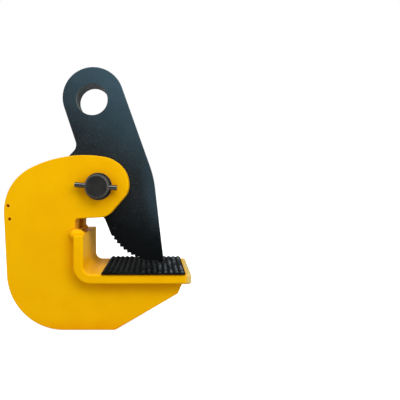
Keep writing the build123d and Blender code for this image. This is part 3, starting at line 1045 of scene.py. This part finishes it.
def makePlugTree():
    # flattened balls with a spiral ripple, each turned its own way
    sizes = ("Spacing", "Radius", "Height", "Ripple", "Ripple Depth")
    counts = ("Count", "Segments", "Rings", "Seed")
    tree, source, target = newTree("plugWelds", sizes, counts)
    shape = {"Segments": source["Segments"], "Rings": source["Rings"], "Radius": source["Radius"]}
    ball = addNode(tree, "GeometryNodeMeshUVSphere", shape).outputs["Mesh"]
    x, y, _ = splitVector(tree, addNode(tree, "GeometryNodeInputPosition").outputs[0])
    turn = over(tree, maths(tree, "ARCTAN2", y, x), 2 * math.pi)
    phase = plus(tree, over(tree, hypotenuse(tree, x, y), source["Ripple"]), turn)
    ripple = maths(tree, "SINE", times(tree, phase, 2 * math.pi))
    growth = over(tree, source["Radius"], source["Height"])
    lift = times(tree, times(tree, ripple, source["Ripple Depth"]), growth)
    ball = shiftPoints(tree, ball, joinVector(tree, Z=lift))
    flat = joinVector(tree, X=1.0, Y=1.0, Z=over(tree, source["Height"], source["Radius"]))
    dome = addNode(tree, "GeometryNodeTransform", {"Geometry": ball, "Scale": flat}).outputs[0]
    row = {"Count": source["Count"], "Offset": joinVector(tree, X=source["Spacing"])}
    spots = addNode(tree, "GeometryNodeMeshLine", row).outputs[0]
    spin = addNode(tree, "FunctionNodeRandomValue", {"Seed": source["Seed"]}, data_type="FLOAT")
    spin.inputs[3].default_value = 2 * math.pi
    placing = {"Points": spots, "Instance": dome, "Rotation": joinVector(tree, Z=spin.outputs[1])}
    placed = addNode(tree, "GeometryNodeInstanceOnPoints", placing).outputs[0]
    closeTree(tree, placed, source["Finish"], target)
    return tree


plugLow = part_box("pad_plug_welds")[0]
plugSizes = {
    "Count": plugPiece["count"],
    "Spacing": padPiece["studSpacing"],
    "Radius": plugPiece["radius"],
    "Height": plugPiece["height"],
    "Ripple": plugPiece["ripple"],
    "Ripple Depth": plugPiece["depth"],
    "Segments": plugPiece["segments"],
    "Rings": plugPiece["rings"],
    "Seed": plugPiece["seed"],
    "Finish": finishes["yellow"],
}
plugs = runTree("plugWelds", bpy.data.meshes.new("plugWelds"), makePlugTree(), plugSizes)
firstPlug = (plugLow.x + padPiece["studRadius"], 0.0, plugLow.z + plugPiece["middle"])
plugs.data.transform(Matrix.Translation(firstPlug))
settle(plugs, finishes["yellow"], "frame", "yellow_paint", "pad_plug_welds")
print("pieces ready")


# floor, light and camera
floorLook = {
    "half": 6.0,
    "tones": ((0.44, 0.44, 0.44, 1.0), (0.47, 0.47, 0.47, 1.0)),
    "toneScale": 3.0,
    "roughness": 0.9,
    "glowColor": (1.0, 1.0, 1.0, 1.0),
    "glow": 0.95,
}
worldLook = {
    "seenColor": (1.0, 1.0, 1.0, 1.0),
    "lightColor": (0.94, 0.97, 1.0, 1.0),
    "seen": 1.0,
    "lighting": 0.38,
    "reflected": 0.14,
}
clampMiddle = (0.0, 0.0, 0.12)
white = (1.0, 1.0, 1.0)
skyBlue = (0.86, 0.94, 1.0)
# name, place, target, size across, power in watts and color
lamps = (
    ("keyLamp", (0.50, -0.55, 0.75), clampMiddle, 0.55, 4.9, white),
    ("skyLamp", (-0.10, -0.45, 0.85), (0.0, 0.0, 0.20), 0.5, 3.2, skyBlue),
    ("fillLamp", (-1.0, -0.5, 0.35), clampMiddle, 0.8, 3.3, white),
    ("sideLamp", (0.85, -0.32, 0.18), (0.0, 0.0, 0.06), 0.9, 3.1, white),
    ("backLamp", (-0.4, 0.9, 0.7), clampMiddle, 0.8, 4.0, white),
)
cameraLook = {
    "place": (0.05375, -0.329, 0.1317),  # looks level along +Y, and the shifts frame the clamp
    "lens": 29.92,
    "sensor": 36.0,
    "shift": (0.11, -0.035),
}


def makeFloor():
    mesh = bpy.data.meshes.new("studioFloor")
    half = floorLook["half"]
    corners = [(-half, -half, 0), (half, -half, 0), (half, half, 0), (-half, half, 0)]
    mesh.from_pydata(corners, [], [(0, 1, 2, 3)])
    material, tree, shader, coords = startMaterial("paleFloor")
    tone = makeNoise(tree, coords, floorLook["toneScale"], 2.0)
    feed(tree, shader.inputs["Base Color"], mixColor(tree, tone, *floorLook["tones"]))
    shader.inputs["Roughness"].default_value = floorLook["roughness"]
    shader.inputs["Specular IOR Level"].default_value = 0.0
    shader.inputs["Emission Color"].default_value = floorLook["glowColor"]
    # the paper glows for the camera only, so it stays pale without lighting the part from below
    seen = addNode(tree, "ShaderNodeLightPath").outputs["Is Camera Ray"]
    feed(tree, shader.inputs["Emission Strength"], times(tree, seen, floorLook["glow"]))
    mesh.materials.append(material)
    newPiece("studioFloor", mesh)


def makeLamp(name, place, target, size, power, color):
    data = bpy.data.lights.new(name, "AREA")
    data.shape = "DISK"
    data.size = size
    data.energy = power
    data.color = color
    lamp = bpy.data.objects.new(name, data)
    scene.collection.objects.link(lamp)
    lamp.location = place
    lamp.rotation_euler = (Vector(target) - Vector(place)).to_track_quat("-Z", "Y").to_euler()


def makeWorld():
    # bright paper behind, soft light all round, and a calmer one in reflections
    world = bpy.data.worlds.new("studioWorld")
    scene.world = world
    world.use_nodes = True
    tree = world.node_tree
    tree.nodes.clear()
    rays = addNode(tree, "ShaderNodeLightPath").outputs
    strength = mixFloat(tree, rays["Is Glossy Ray"], worldLook["lighting"], worldLook["reflected"])
    strength = mixFloat(tree, rays["Is Camera Ray"], strength, worldLook["seen"])
    color = mixColor(tree, rays["Is Camera Ray"], worldLook["lightColor"], worldLook["seenColor"])
    light = addNode(tree, "ShaderNodeBackground", {"Color": color, "Strength": strength})
    output = addNode(tree, "ShaderNodeOutputWorld")
    feed(tree, output.inputs["Surface"], light.outputs[0])


def makeCamera():
    data = bpy.data.cameras.new("studioCamera")
    data.lens = cameraLook["lens"]
    data.sensor_width = cameraLook["sensor"]
    data.shift_x, data.shift_y = cameraLook["shift"]
    camera = bpy.data.objects.new("studioCamera", data)
    camera.location = cameraLook["place"]
    camera.rotation_euler = (math.radians(90.0), 0.0, 0.0)
    scene.collection.objects.link(camera)
    bpy.context.scene.camera = camera


makeFloor()
makeWorld()
for lamp in lamps:
    makeLamp(*lamp)
makeCamera()
scene.view_settings.view_transform = "Standard"
print("studio ready")
